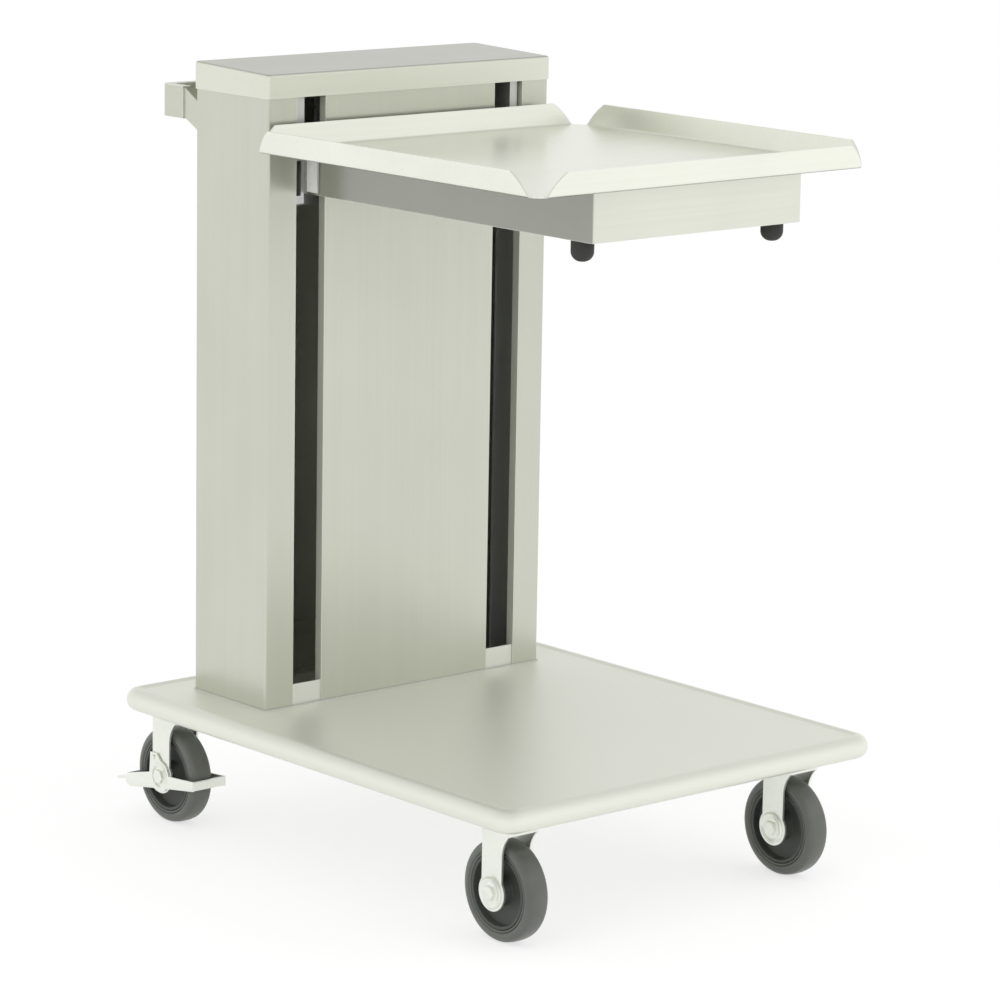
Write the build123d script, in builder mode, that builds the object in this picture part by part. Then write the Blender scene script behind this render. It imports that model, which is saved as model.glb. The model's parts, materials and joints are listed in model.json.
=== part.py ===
from build123d import *
import os

os.makedirs("parts", exist_ok=True)

# Mobile tray dispenser: a cantilevered tray platform that sinks on springs as trays are stacked.
# Millimetres, X to the right, Y to the back, Z up from the floor, origin under the middle of the deck.

# Base deck
deck_width = 615
deck_depth = 775
deck_top = 185
deck_sheet = 2
deck_corner = 26
rim_height = 30
rim_rise = 2
rim_crease = 24
rim_lip = 22

# Tower
tower_width = 462
tower_depth = 150
tower_back = 325.5
tower_sheet = 1.5
tower_bend = 4
slot_inner = 140
slot_outer = 186
slot_return = 12
slot_foot = 213.5
tower_front = tower_back - tower_depth
tower_middle = tower_back - tower_depth / 2

# Cap
cap_front_height = 998
cap_fall = 5
cap_skirt = 30
cap_overlap = 2

# Tray platform
tray_width = 543
tray_depth = 536
tray_front = -379
tray_top = 909
tray_sheet = 2
flange_height = 28
flange_lean = 7
flange_foot_gap = 18
flange_lip_gap = 42
flange_end_bow = 4
tray_back = tray_front + tray_depth
tray_under = tray_top - tray_sheet

# Carrier under the tray and the arms that reach into the tower
carrier_half = 170
carrier_sheet = 3
carrier_flange = 20
carrier_bottom = 846
carrier_front = -363
arm_back = 285

# Rollers and rails
roller_radius = 20.2
roller_width = 18
roller_centre = 203
rail_gap = 41
rail_thickness = 3
rail_reach = 38
rail_top = 974
axle_line = tower_middle
upper_axle = 948
lower_axle = 862
journal_radius = 5

# Springs
spring_count = 4
spring_pitch = 70
spring_line = 225
spring_radius = 12
spring_wire = 2.2
hanger_pin = 982
anchor_pin = 836
spring_pin_radius = 3

# Casters
wheel_radius = 63.5
tyre_width = 32
tyre_inner = 47
hub_half = 19.5
caster_x = 234
front_pivot = -315
rear_pivot = 351
caster_trail = 12
mount_top = 159
race_radius = 30
race_top = 156.6
race_joint = 150.7
crown_top = 147
crown_front = 18
fork_sheet = 3
fork_half = 23.5
leg_half = 18
boss_radius = 23
king_pin_radius = 6

# Push handle
handle_back = 402
handle_front = 353
handle_bottom = 927
handle_height = 41
handle_corner = 14


def across_x(x, y=0, z=0):
    """A plane square to X, whose sketch runs along +Y and +Z."""
    return Plane(origin=(x, y, z), x_dir=(0, 1, 0), z_dir=(1, 0, 0))


def across_y(y, x=0, z=0):
    """A plane square to Y, whose sketch runs along +X and +Z and faces the front."""
    return Plane(origin=(x, y, z), x_dir=(1, 0, 0), z_dir=(0, -1, 0))


def save(builder, name):
    """Labels the finished piece and writes it under the same name."""
    builder.part.label = name
    export_step(builder.part, f"parts/{name}.step")


# Base deck, one sheet whose edge rolls over into a half-round rim
rim_radius = rim_height / 2
rim_top = deck_top + rim_rise
rim_middle = rim_top - rim_radius
rim_bottom = rim_top - rim_height
half_width = deck_width / 2
half_depth = deck_depth / 2

with BuildPart() as base_deck:
    with BuildSketch(Plane.XY.offset(deck_top - deck_sheet)):
        RectangleRounded(deck_width - 2 * rim_crease, deck_depth - 2 * rim_crease, deck_corner - rim_crease)
    extrude(amount=deck_sheet)
    with BuildLine() as rim_path:
        for way in (1, -1):
            FilletPolyline(
                (way * half_width, 0),
                (way * half_width, way * half_depth),
                (-way * half_width, way * half_depth),
                (-way * half_width, 0),
                radius=deck_corner,
            )
    with BuildSketch(Plane(origin=(half_width, 0, 0), x_dir=(-1, 0, 0), z_dir=(0, 1, 0))):
        with BuildLine():
            Polyline((rim_crease, deck_top), (rim_crease - 3, deck_top), (rim_radius, rim_top))
            ThreePointArc((rim_radius, rim_top), (0, rim_middle), (rim_radius, rim_bottom))
            Polyline(
                (rim_radius, rim_bottom),
                (rim_lip, rim_bottom),
                (rim_lip, rim_bottom + deck_sheet),
                (rim_radius, rim_bottom + deck_sheet),
            )
            ThreePointArc(
                (rim_radius, rim_bottom + deck_sheet),
                (deck_sheet, rim_middle),
                (rim_radius, rim_top - deck_sheet),
            )
            Polyline(
                (rim_radius, rim_top - deck_sheet),
                (rim_crease - 3, deck_top - deck_sheet),
                (rim_crease, deck_top - deck_sheet),
                (rim_crease, deck_top),
            )
        make_face()
    sweep(path=rim_path.wire())
save(base_deck, "base_deck")

# Channels under the deck that carry the casters
channel_web = 3
channel_half_depth = 28
channel_flange = 18
channel_half_length = 281
bolt_radius = 4
bolt_hole = 4.2


def caster_channel(name, middle, pivot, inward):
    """A channel across the deck, its web over the caster stems and its flange towards the middle."""
    with BuildPart() as channel:
        with BuildSketch(across_x(-channel_half_length, middle, mount_top)):
            depth = deck_top - deck_sheet - mount_top
            with Locations((0, depth / 2)):
                Rectangle(2 * channel_half_depth, depth)
            with Locations((0, depth / 2 + channel_web)):
                Rectangle(2 * (channel_half_depth - channel_web), depth, mode=Mode.SUBTRACT)
            with Locations((inward * (channel_half_depth + channel_flange / 2), depth - channel_web / 2)):
                Rectangle(channel_flange, channel_web)
        extrude(amount=2 * channel_half_length)
        with Locations((-caster_x, pivot, mount_top), (caster_x, pivot, mount_top)):
            Cylinder(king_pin_radius + 0.3, 3 * channel_web, mode=Mode.SUBTRACT)
    save(channel, name)


caster_channel("front_caster_channel", front_pivot, front_pivot, 1)
caster_channel("rear_caster_channel", half_depth - rim_lip - 1 - channel_half_depth, rear_pivot, -1)

# Tower shell: posts, sides and back folded from one sheet, open at the two slots and at the rear
shell_top = cap_front_height - tower_sheet - 4
access_half = 160
access_bottom = 250
access_top = 870
foot_flange = 18
screw_x = 168
screw_radius = 2.5
screw_rows = (255, 458, 662, 865)

with BuildPart() as tower_shell:
    with BuildSketch(Plane.XY.offset(deck_top)):
        with Locations((0, tower_middle)):
            RectangleRounded(tower_width, tower_depth, tower_bend)
            RectangleRounded(
                tower_width - 2 * tower_sheet,
                tower_depth - 2 * tower_sheet,
                tower_bend - tower_sheet,
                mode=Mode.SUBTRACT,
            )
        with Locations((0, tower_front)):
            Rectangle(2 * slot_outer, 4 * tower_sheet, mode=Mode.SUBTRACT)
        for side in (-1, 1):
            with Locations((side * (slot_outer + tower_sheet / 2), tower_front + slot_return / 2)):
                Rectangle(tower_sheet, slot_return)
    extrude(amount=shell_top - deck_top)
    with BuildSketch(Plane.XY.offset(deck_top)):
        with Locations((0, tower_back - foot_flange / 2 - 1)):
            Rectangle(2 * access_half, foot_flange)
    extrude(amount=tower_sheet)
    with BuildSketch(across_y(tower_back + 1)):
        with Locations((0, (access_bottom + access_top) / 2)):
            RectangleRounded(2 * access_half, access_top - access_bottom, 10)
    extrude(amount=2 + tower_sheet, mode=Mode.SUBTRACT)
    with BuildSketch(across_y(tower_back + 1)):
        with Locations(*[(side * screw_x, row) for side in (-1, 1) for row in screw_rows]):
            Circle(screw_radius + 0.1)
    extrude(amount=2 + tower_sheet, mode=Mode.SUBTRACT)
save(tower_shell, "tower_shell")

# Centre panel between the slots, with returns along both edges and a foot flange
with BuildPart() as centre_panel:
    with BuildSketch(Plane.XY.offset(deck_top)):
        with Locations((0, tower_front + slot_return / 2)):
            Rectangle(2 * slot_inner, slot_return)
        with Locations((0, tower_front + slot_return / 2 + tower_sheet)):
            Rectangle(2 * (slot_inner - tower_sheet), slot_return, mode=Mode.SUBTRACT)
    extrude(amount=shell_top - deck_top)
    with BuildSketch(Plane.XY.offset(deck_top)):
        with Locations((0, tower_front + foot_flange / 2)):
            Rectangle(2 * (slot_inner - tower_sheet), foot_flange)
    extrude(amount=tower_sheet)
    front_bends = centre_panel.edges().filter_by(Axis.Z).group_by(Axis.Y)[0]
    fillet(front_bends, 1.2)
save(centre_panel, "centre_panel")

# Plates that close the foot of each slot, set back behind the front face
for side, name in ((-1, "slot_closure_left"), (1, "slot_closure_right")):
    slot_width = slot_outer - slot_inner
    with BuildPart() as slot_closure:
        with BuildSketch(across_y(tower_front + 3, side * (slot_inner + slot_outer) / 2, deck_top)):
            with Locations((0, (slot_foot - deck_top) / 2)):
                Rectangle(slot_width, slot_foot - deck_top)
        extrude(amount=tower_sheet)
    save(slot_closure, name)

# Cap, a lid with a turned-down skirt, its top falling slightly to the front
cap_width = tower_width + 2 * cap_overlap
cap_depth = tower_depth + 2 * cap_overlap
cap_back_height = cap_front_height + cap_fall
cap_bottom = cap_front_height - cap_skirt

with BuildPart() as tower_cap:
    with BuildSketch(across_x(-cap_width / 2, tower_middle)):
        Polygon(
            (-cap_depth / 2, cap_bottom),
            (cap_depth / 2, cap_bottom),
            (cap_depth / 2, cap_back_height),
            (-cap_depth / 2, cap_front_height),
            align=None,
        )
    extrude(amount=cap_width)
    cap_corners = tower_cap.edges().filter_by(Axis.Z)
    fillet(cap_corners, tower_bend + cap_overlap)
    cap_rim = tower_cap.faces().sort_by(Axis.Z)[-1].edges()
    fillet(cap_rim, 3)
    cap_mouth = tower_cap.faces().sort_by(Axis.Z)[0]
    offset(amount=-tower_sheet, openings=cap_mouth)
save(tower_cap, "tower_cap")

# Roller rails, a pair of flat bars welded on edge to each side wall, with the rollers between them
wall_inside = tower_width / 2 - tower_sheet
bar_offset = (rail_gap + rail_thickness) / 2
for side, name in ((-1, "guide_rail_left"), (1, "guide_rail_right")):
    rail_line = side * (wall_inside - rail_reach / 2)
    with BuildPart() as guide_rail:
        with BuildSketch(Plane.XY.offset(deck_top)):
            with Locations((rail_line, axle_line - bar_offset), (rail_line, axle_line + bar_offset)):
                Rectangle(rail_reach, rail_thickness)
        extrude(amount=rail_top - deck_top)
    save(guide_rail, name)

# Spring hanger, an inverted channel across the head of the tower with a lip for the stop pads
hanger_half_depth = 15
hanger_sheet = 2.5
hanger_web = 989.5
hanger_foot = 976
stop_lip = 52
stop_line = 272
spring_xs = [spring_pitch * (i - (spring_count - 1) / 2) for i in range(spring_count)]

with BuildPart() as spring_hanger:
    with BuildSketch(across_x(-wall_inside, spring_line, hanger_foot)):
        height = hanger_web + hanger_sheet - hanger_foot
        with Locations((0, height / 2)):
            Rectangle(2 * hanger_half_depth, height)
        with Locations((0, height / 2 - hanger_sheet)):
            Rectangle(2 * (hanger_half_depth - hanger_sheet), height, mode=Mode.SUBTRACT)
        with Locations((hanger_half_depth + stop_lip / 2, hanger_sheet / 2)):
            Rectangle(stop_lip, hanger_sheet)
    extrude(amount=2 * wall_inside)
    with Locations(*[(x, spring_line, hanger_pin) for x in spring_xs]):
        Cylinder(
            spring_pin_radius + 0.05, 2 * hanger_half_depth + 1, rotation=(90, 0, 0), mode=Mode.SUBTRACT
        )
save(spring_hanger, "spring_hanger")


def spring_pins(name, height):
    """One cross pin for each spring, between the flanges of the channel that holds it."""
    with BuildPart() as pins:
        with Locations(*[(x, spring_line, height) for x in spring_xs]):
            Cylinder(spring_pin_radius, 2 * hanger_half_depth + 1, rotation=(90, 0, 0))
    save(pins, name)


spring_pins("hanger_pins", hanger_pin)
spring_pins("anchor_pins", anchor_pin)

# Rubber pads under the hanger that the carriage comes up against
carriage_top = 970
stop_pad_x = 120
stop_clearance = 0.3
with BuildPart() as stop_pads:
    with BuildSketch(Plane.XY.offset(carriage_top + stop_clearance)):
        with Locations((-stop_pad_x, stop_line), (stop_pad_x, stop_line)):
            Circle(11)
    extrude(amount=hanger_foot - carriage_top - stop_clearance)
save(stop_pads, "stop_pads")

# Rear access panel and its screws
panel_half = 178
panel_bottom = 238
panel_top = 882
with BuildPart() as access_panel:
    with BuildSketch(across_y(tower_back + tower_sheet)):
        with Locations((0, (panel_bottom + panel_top) / 2)):
            RectangleRounded(2 * panel_half, panel_top - panel_bottom, 6)
        with Locations(*[(side * screw_x, row) for side in (-1, 1) for row in screw_rows]):
            Circle(screw_radius + 0.1, mode=Mode.SUBTRACT)
    extrude(amount=tower_sheet)
save(access_panel, "rear_access_panel")

with BuildPart() as panel_screws:
    with BuildSketch(across_y(tower_back + tower_sheet + 2.2)):
        with Locations(*[(side * screw_x, row) for side in (-1, 1) for row in screw_rows]):
            Circle(4.6)
    extrude(amount=2.2)
    with BuildSketch(across_y(tower_back + tower_sheet)):
        with Locations(*[(side * screw_x, row) for side in (-1, 1) for row in screw_rows]):
            Circle(screw_radius)
    extrude(amount=7)
save(panel_screws, "panel_screws")

# Push handle, a folded channel bent round behind the tower, open towards it
handle_half = tower_width / 2
handle_sheet = 2
handle_lip = 13

with BuildPart() as push_handle:
    with BuildSketch(Plane.XY.offset(handle_bottom)) as handle_plan:
        with Locations((0, (handle_front + handle_back) / 2)):
            Rectangle(2 * handle_half, handle_back - handle_front)
        back_corners = handle_plan.vertices().group_by(Axis.Y)[-1]
        fillet(back_corners, handle_corner)
    extrude(amount=handle_height)
    with BuildSketch(Plane.XY.offset(handle_bottom + handle_sheet)) as handle_room:
        with Locations((0, (handle_front + handle_back) / 2 - handle_sheet)):
            Rectangle(2 * (handle_half - handle_sheet), handle_back - handle_front)
        back_corners = handle_room.vertices().group_by(Axis.Y)[-1]
        fillet(back_corners, handle_corner - handle_sheet)
    extrude(amount=handle_height - 2 * handle_sheet, mode=Mode.SUBTRACT)
    with BuildSketch(Plane.XY.offset(handle_bottom)):
        with Locations((0, (handle_front + handle_back) / 2 - handle_lip)):
            Rectangle(2 * (handle_half - handle_lip), handle_back - handle_front)
    extrude(amount=handle_height, mode=Mode.SUBTRACT)
save(push_handle, "push_handle")

# Brackets that carry the handle, each a gusset with a flange on the back of the tower
bracket_foot = 915
bracket_head = 951
bracket_back = 385
bracket_flange = 30
for side, name in ((-1, "handle_bracket_left"), (1, "handle_bracket_right")):
    with BuildPart() as handle_bracket:
        outer_face = handle_half - handle_sheet
        start = side * outer_face if side < 0 else outer_face - handle_sheet
        with BuildSketch(across_x(start)):
            Polygon(
                (tower_back, bracket_foot),
                (handle_front, handle_bottom + handle_sheet),
                (bracket_back, handle_bottom + handle_sheet),
                (bracket_back, handle_bottom + handle_height - handle_sheet),
                (handle_front, handle_bottom + handle_height - handle_sheet),
                (tower_back, bracket_head),
                align=None,
            )
        extrude(amount=handle_sheet)
        with BuildSketch(across_y(tower_back + handle_sheet)):
            with Locations((side * (outer_face - bracket_flange / 2), (bracket_foot + bracket_head) / 2)):
                Rectangle(bracket_flange, bracket_head - bracket_foot)
        extrude(amount=handle_sheet)
    save(handle_bracket, name)

# Carrier: front, sides and arms folded from one sheet, with flanges along top and bottom
carrier_height = tray_under - carrier_bottom
arm_bolt_spots = ((205, 890), (205, 866), (272, 893))
axle_hole = 6.1


def carrier_outline(inset, bottom, height, mode):
    """A block inside the carrier's outline, open at the back end of the arms."""
    length = arm_back - carrier_front
    with BuildSketch(Plane.XY.offset(bottom)) as plan:
        with Locations((0, carrier_front + inset + length / 2)):
            Rectangle(2 * (carrier_half - inset), length)
        front_corners = plan.vertices().group_by(Axis.Y)[0]
        if inset < carrier_flange:
            fillet(front_corners, 5 - inset)
    extrude(plan.sketch, amount=height, mode=mode)


with BuildPart() as carrier_frame:
    room_bottom = carrier_bottom + carrier_sheet
    room_height = carrier_height - 2 * carrier_sheet
    carrier_outline(0, carrier_bottom, carrier_height, Mode.ADD)
    carrier_outline(carrier_sheet, room_bottom, room_height, Mode.SUBTRACT)
    carrier_outline(carrier_flange + carrier_sheet, carrier_bottom, carrier_height, Mode.SUBTRACT)
    with Locations((0, axle_line, lower_axle)):
        Cylinder(axle_hole, 2 * carrier_half + 2, rotation=(0, 90, 0), mode=Mode.SUBTRACT)
    with Locations(*[(0, y, z) for y, z in arm_bolt_spots]):
        Cylinder(bolt_hole, 2 * carrier_half + 2, rotation=(0, 90, 0), mode=Mode.SUBTRACT)
save(carrier_frame, "carrier_frame")

# Brace that joins the two arms just in front of the tower
brace_line = 140
brace_width = 24
with BuildPart() as carrier_brace:
    half = carrier_half - carrier_sheet
    with BuildSketch(across_x(-half, brace_line, room_bottom)):
        with Locations((0, room_height / 2)):
            Rectangle(brace_width, room_height)
        with Locations((-carrier_sheet, room_height / 2)):
            Rectangle(brace_width, room_height - 2 * carrier_sheet, mode=Mode.SUBTRACT)
    extrude(amount=2 * half)
save(carrier_brace, "carrier_brace")

# Tray platform: a flat floor with four flanges that lean outwards, open at the corners
bend_outside = 5
bend_inside = 3


def flange_section(plane):
    """The folded edge strip: a tail on the floor, the bend and the leaning wall."""
    lean = flange_lean
    rise = flange_height
    with BuildSketch(plane) as section:
        with BuildLine():
            Polyline(
                (-10, 0),
                (0, 0),
                (lean, rise + tray_sheet),
                (lean - tray_sheet, rise + tray_sheet),
                (-tray_sheet, tray_sheet),
                (-10, tray_sheet),
                close=True,
            )
        make_face()
        outside = section.vertices().sort_by_distance((0, 0))[0]
        fillet(outside, bend_outside)
        inside = section.vertices().sort_by_distance((-tray_sheet, tray_sheet))[0]
        fillet(inside, bend_inside)
    return section.sketch


half_tray = tray_width / 2
tray_middle = (tray_front + tray_back) / 2
flange_sides = (
    (Plane(origin=(-half_tray, tray_front, tray_under), x_dir=(-1, 0, 0), z_dir=(0, 1, 0)), tray_depth),
    (Plane(origin=(half_tray, tray_back, tray_under), x_dir=(1, 0, 0), z_dir=(0, -1, 0)), tray_depth),
    (Plane(origin=(half_tray, tray_front, tray_under), x_dir=(0, -1, 0), z_dir=(-1, 0, 0)), tray_width),
    (Plane(origin=(-half_tray, tray_back, tray_under), x_dir=(0, 1, 0), z_dir=(1, 0, 0)), tray_width),
)


def flange_end(plane, length):
    """The slanted, slightly bowed cut at both ends of a flange, seen square to its wall."""
    face = Plane(origin=plane.origin, x_dir=plane.z_dir, z_dir=plane.x_dir)
    up = 1 if face.y_dir.Z > 0 else -1
    top = flange_height + tray_sheet + 1
    slope = (flange_lip_gap - flange_foot_gap) / flange_height
    foot = flange_foot_gap - slope * tray_sheet
    with BuildSketch(face.offset(-9)) as wedges:
        for sign, corner in ((1, 0), (-1, length)):
            low = (corner + sign * (foot - slope), -up)
            high = (corner + sign * (foot + slope * top), up * top)
            bow = ((low[0] + high[0]) / 2 - sign * flange_end_bow, (low[1] + high[1]) / 2)
            with BuildLine():
                ThreePointArc(low, bow, high)
                Polyline(high, (corner - sign, up * top), (corner - sign, -up), low)
            make_face()
    extrude(wedges.sketch, amount=9 + flange_lean + 1, mode=Mode.SUBTRACT)


with BuildPart() as tray_platform:
    for plane, length in flange_sides:
        section = flange_section(plane)
        extrude(section, amount=length)
    for plane, length in flange_sides:
        flange_end(plane, length)
    with BuildSketch(Plane.XY.offset(tray_under)):
        with Locations((0, tray_middle)):
            RectangleRounded(tray_width - 2 * bend_outside, tray_depth - 2 * bend_outside, 16)
    extrude(amount=tray_sheet)
save(tray_platform, "tray_platform")

# Rubber bumpers under the front corners of the carrier, domed below and bored for a screw
bumper_x = 154.5
bumper_y = -328
bumper_radius = 14
bumper_length = 25.5
bumper_dome = 12
bumper_bore = 3.5
bumper_foot = carrier_bottom - bumper_length
with BuildPart() as bumpers:
    for x in (-bumper_x, bumper_x):
        with BuildSketch(across_y(bumper_y, x, bumper_foot)):
            with BuildLine():
                Polyline((0, bumper_length), (0, 6), (bumper_bore, 6), (bumper_bore, 0))
                Line((bumper_bore, 0), (bumper_bore + 1, 0))
                ThreePointArc((bumper_bore + 1, 0), (11, 3.9), (bumper_radius, bumper_dome))
                Polyline((bumper_radius, bumper_dome), (bumper_radius, bumper_length), (0, bumper_length))
            make_face()
        revolve(axis=Axis((x, bumper_y, bumper_foot), (0, 0, 1)))
save(bumpers, "bumpers")

# Carriage side plates, which hold the rollers outside and the arms inside
plate_sheet = 3
plate_bottom = 826
plate_front = 181
plate_back = 300
plate_flange = 9
flange_bottom = 833
for side, name in ((-1, "carriage_plate_left"), (1, "carriage_plate_right")):
    with BuildPart() as carriage_plate:
        inner_face = side * carrier_half
        start = inner_face - plate_sheet if side < 0 else inner_face
        with BuildSketch(across_x(start)) as plate_outline:
            Polygon(
                (plate_front, flange_bottom),
                (spring_line - 22, flange_bottom),
                (spring_line - 16, plate_bottom),
                (spring_line + 16, plate_bottom),
                (spring_line + 22, flange_bottom),
                (plate_back, flange_bottom),
                (plate_back, carriage_top),
                (plate_front, carriage_top),
                align=None,
            )
            back_corners = plate_outline.vertices().group_by(Axis.X)[-1]
            fillet(back_corners, 8)
            with Locations((axle_line, upper_axle), (axle_line, lower_axle)):
                Circle(axle_hole, mode=Mode.SUBTRACT)
            with Locations(*arm_bolt_spots):
                Circle(bolt_hole, mode=Mode.SUBTRACT)
        extrude(amount=plate_sheet)
        with BuildSketch(across_y(plate_front + plate_sheet)):
            outer = carrier_half + plate_sheet
            with Locations((side * (outer + plate_flange / 2), (flange_bottom + carriage_top) / 2)):
                Rectangle(plate_flange, carriage_top - flange_bottom)
            with Locations((side * (outer + plate_flange / 2 + 1.5), 865)):
                Rectangle(plate_flange, 44, mode=Mode.SUBTRACT)
        extrude(amount=plate_sheet)
    save(carriage_plate, name)

# Cross bars of the carriage: an angle behind the springs and the channel that anchors them
bar_half = carrier_half
with BuildPart() as upper_crossbar:
    with BuildSketch(across_x(-bar_half, plate_back - 8, carriage_top)):
        with Locations((-17.5, -1.5)):
            Rectangle(35, 3)
        with Locations((-1.5, -15)):
            Rectangle(3, 30)
    extrude(amount=2 * bar_half)
save(upper_crossbar, "carriage_upper_crossbar")

with BuildPart() as lower_crossbar:
    with BuildSketch(across_x(-bar_half, spring_line, plate_bottom)):
        with Locations((0, 8)):
            Rectangle(2 * hanger_half_depth, 16)
        with Locations((0, 8 + hanger_sheet)):
            Rectangle(2 * (hanger_half_depth - hanger_sheet), 16, mode=Mode.SUBTRACT)
    extrude(amount=2 * bar_half)
    with Locations(*[(x, spring_line, anchor_pin) for x in spring_xs]):
        Cylinder(
            spring_pin_radius + 0.05, 2 * hanger_half_depth + 1, rotation=(90, 0, 0), mode=Mode.SUBTRACT
        )
save(lower_crossbar, "carriage_lower_crossbar")

# Bolts that clamp the arms to the carriage plates
with BuildPart() as arm_bolts:
    for side in (-1, 1):
        head = side * (carrier_half + plate_sheet)
        nut = side * (carrier_half - carrier_sheet)
        for y, z in arm_bolt_spots:
            with BuildSketch(across_x(head, y, z)):
                RegularPolygon(6.5, 6)
            extrude(amount=side * 5)
            with BuildSketch(across_x(nut, y, z)):
                RegularPolygon(6.5, 6)
            extrude(amount=-side * 6)
            with BuildSketch(across_x(nut, y, z)):
                Circle(bolt_radius)
            extrude(amount=side * (plate_sheet + carrier_sheet))
save(arm_bolts, "arm_bolts")

# Stub axles, one node of four: a shank through plate and arm, a collar, the journal and its head
with BuildPart() as roller_axles:
    for side in (-1, 1):
        for height, inside in ((upper_axle, carrier_half), (lower_axle, carrier_half - carrier_sheet)):
            plane = Plane(origin=(0, axle_line, height), x_dir=(side, 0, 0), z_dir=(0, -side, 0))
            collar = carrier_half + plate_sheet
            journal = roller_centre - roller_width / 2 - 0.5
            head = roller_centre + roller_width / 2 + 0.5
            with BuildSketch(plane):
                with BuildLine():
                    Polyline(
                        (inside - 6, 0),
                        (inside - 6, 9),
                        (inside, 9),
                        (inside, 6),
                        (collar, 6),
                        (collar, 9),
                        (collar + 3, 9),
                        (collar + 3, 6),
                        (journal, 6),
                        (journal, journal_radius),
                        (head, journal_radius),
                        (head, 8),
                        (head + 3, 8),
                        (head + 3, 0),
                        close=True,
                    )
                make_face()
            revolve(axis=Axis((0, axle_line, height), (1, 0, 0)))
save(roller_axles, "roller_axles")

# Rollers that run between the bars of the rails
bore_clearance = 0.08
for side, across in ((-1, "left"), (1, "right")):
    for height, level in ((upper_axle, "upper"), (lower_axle, "lower")):
        with BuildPart() as roller:
            centre = (side * roller_centre, axle_line, height)
            with BuildSketch(Plane(origin=centre, x_dir=(1, 0, 0), z_dir=(0, -1, 0))) as roller_half:
                with Locations((0, (roller_radius + journal_radius + bore_clearance) / 2)):
                    Rectangle(roller_width, roller_radius - journal_radius - bore_clearance)
                rim_corners = roller_half.vertices().group_by(Axis.Y)[-1]
                chamfer(rim_corners, 1.5)
            revolve(axis=Axis(centre, (1, 0, 0)))
        save(roller, f"roller_{level}_{across}")

# Extension springs, each a close-wound barrel with an eye at both ends
eye_radius = 6.5
wire_radius = spring_wire / 2
eye_slack = eye_radius - wire_radius - spring_pin_radius
top_eye = hanger_pin - eye_slack + 0.1
bottom_eye = anchor_pin + eye_slack - 0.1
for index, x in enumerate(spring_xs, start=1):
    with BuildPart() as spring:
        barrel_bottom = bottom_eye + eye_radius - wire_radius
        barrel_top = top_eye - eye_radius + wire_radius
        with BuildSketch(Plane(origin=(x, spring_line, 0), x_dir=(1, 0, 0), z_dir=(0, -1, 0))):
            with BuildLine():
                Polyline(
                    (3, barrel_bottom),
                    (spring_radius - 3, barrel_bottom),
                    (spring_radius, barrel_bottom + 6),
                    (spring_radius, barrel_top - 6),
                    (spring_radius - 3, barrel_top),
                    (3, barrel_top),
                    (3, barrel_top - spring_wire),
                    (spring_radius - 3 - wire_radius, barrel_top - spring_wire),
                    (spring_radius - spring_wire, barrel_top - 6),
                    (spring_radius - spring_wire, barrel_bottom + 6),
                    (spring_radius - 3 - wire_radius, barrel_bottom + spring_wire),
                    (3, barrel_bottom + spring_wire),
                    close=True,
                )
            make_face()
        revolve(axis=Axis((x, spring_line, 0), (0, 0, 1)))
        for height in (bottom_eye, top_eye):
            with BuildSketch(Plane.YZ.offset(x)):
                with Locations((spring_line, height + eye_radius)):
                    Circle(wire_radius)
            revolve(axis=Axis((x, spring_line, height), (0, 1, 0)))
    save(spring, f"lift_spring_{index}")

# Casters
wheel_height = wheel_radius
caster_spots = (
    ("front_left", -caster_x, front_pivot, False),
    ("front_right", caster_x, front_pivot, False),
    ("rear_left", -caster_x, rear_pivot, True),
    ("rear_right", caster_x, rear_pivot, True),
)
crown_rear = caster_trail + leg_half
brake_pin_y = 12
brake_pin_z = 24
brake_pin_radius = 3
stem_top = mount_top + channel_web + 14
nut_height = 10


def caster_mount(name, x, y):
    """Upper race cup with its shoulder, the threaded stem above and the headed king pin below."""
    with BuildPart() as mount:
        with BuildSketch(across_y(y, x)):
            with BuildLine():
                Polyline(
                    (0, stem_top),
                    (king_pin_radius - 1, stem_top),
                    (king_pin_radius, stem_top - 1),
                    (king_pin_radius, mount_top),
                    (11, mount_top),
                    (11, race_top),
                    (race_radius - 2, race_top),
                    (race_radius, race_top - 2),
                    (race_radius, race_joint + 1),
                    (race_radius - 1, race_joint + 0.3),
                    (king_pin_radius, race_joint + 0.3),
                    (king_pin_radius, crown_top - fork_sheet - 0.3),
                    (king_pin_radius + 4, crown_top - fork_sheet - 0.3),
                    (king_pin_radius + 3, crown_top - fork_sheet - 4),
                    (0, crown_top - fork_sheet - 4),
                    close=True,
                )
            make_face()
        revolve(axis=Axis((x, y, 0), (0, 0, 1)))
    save(mount, f"caster_mount_{name}")


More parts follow.
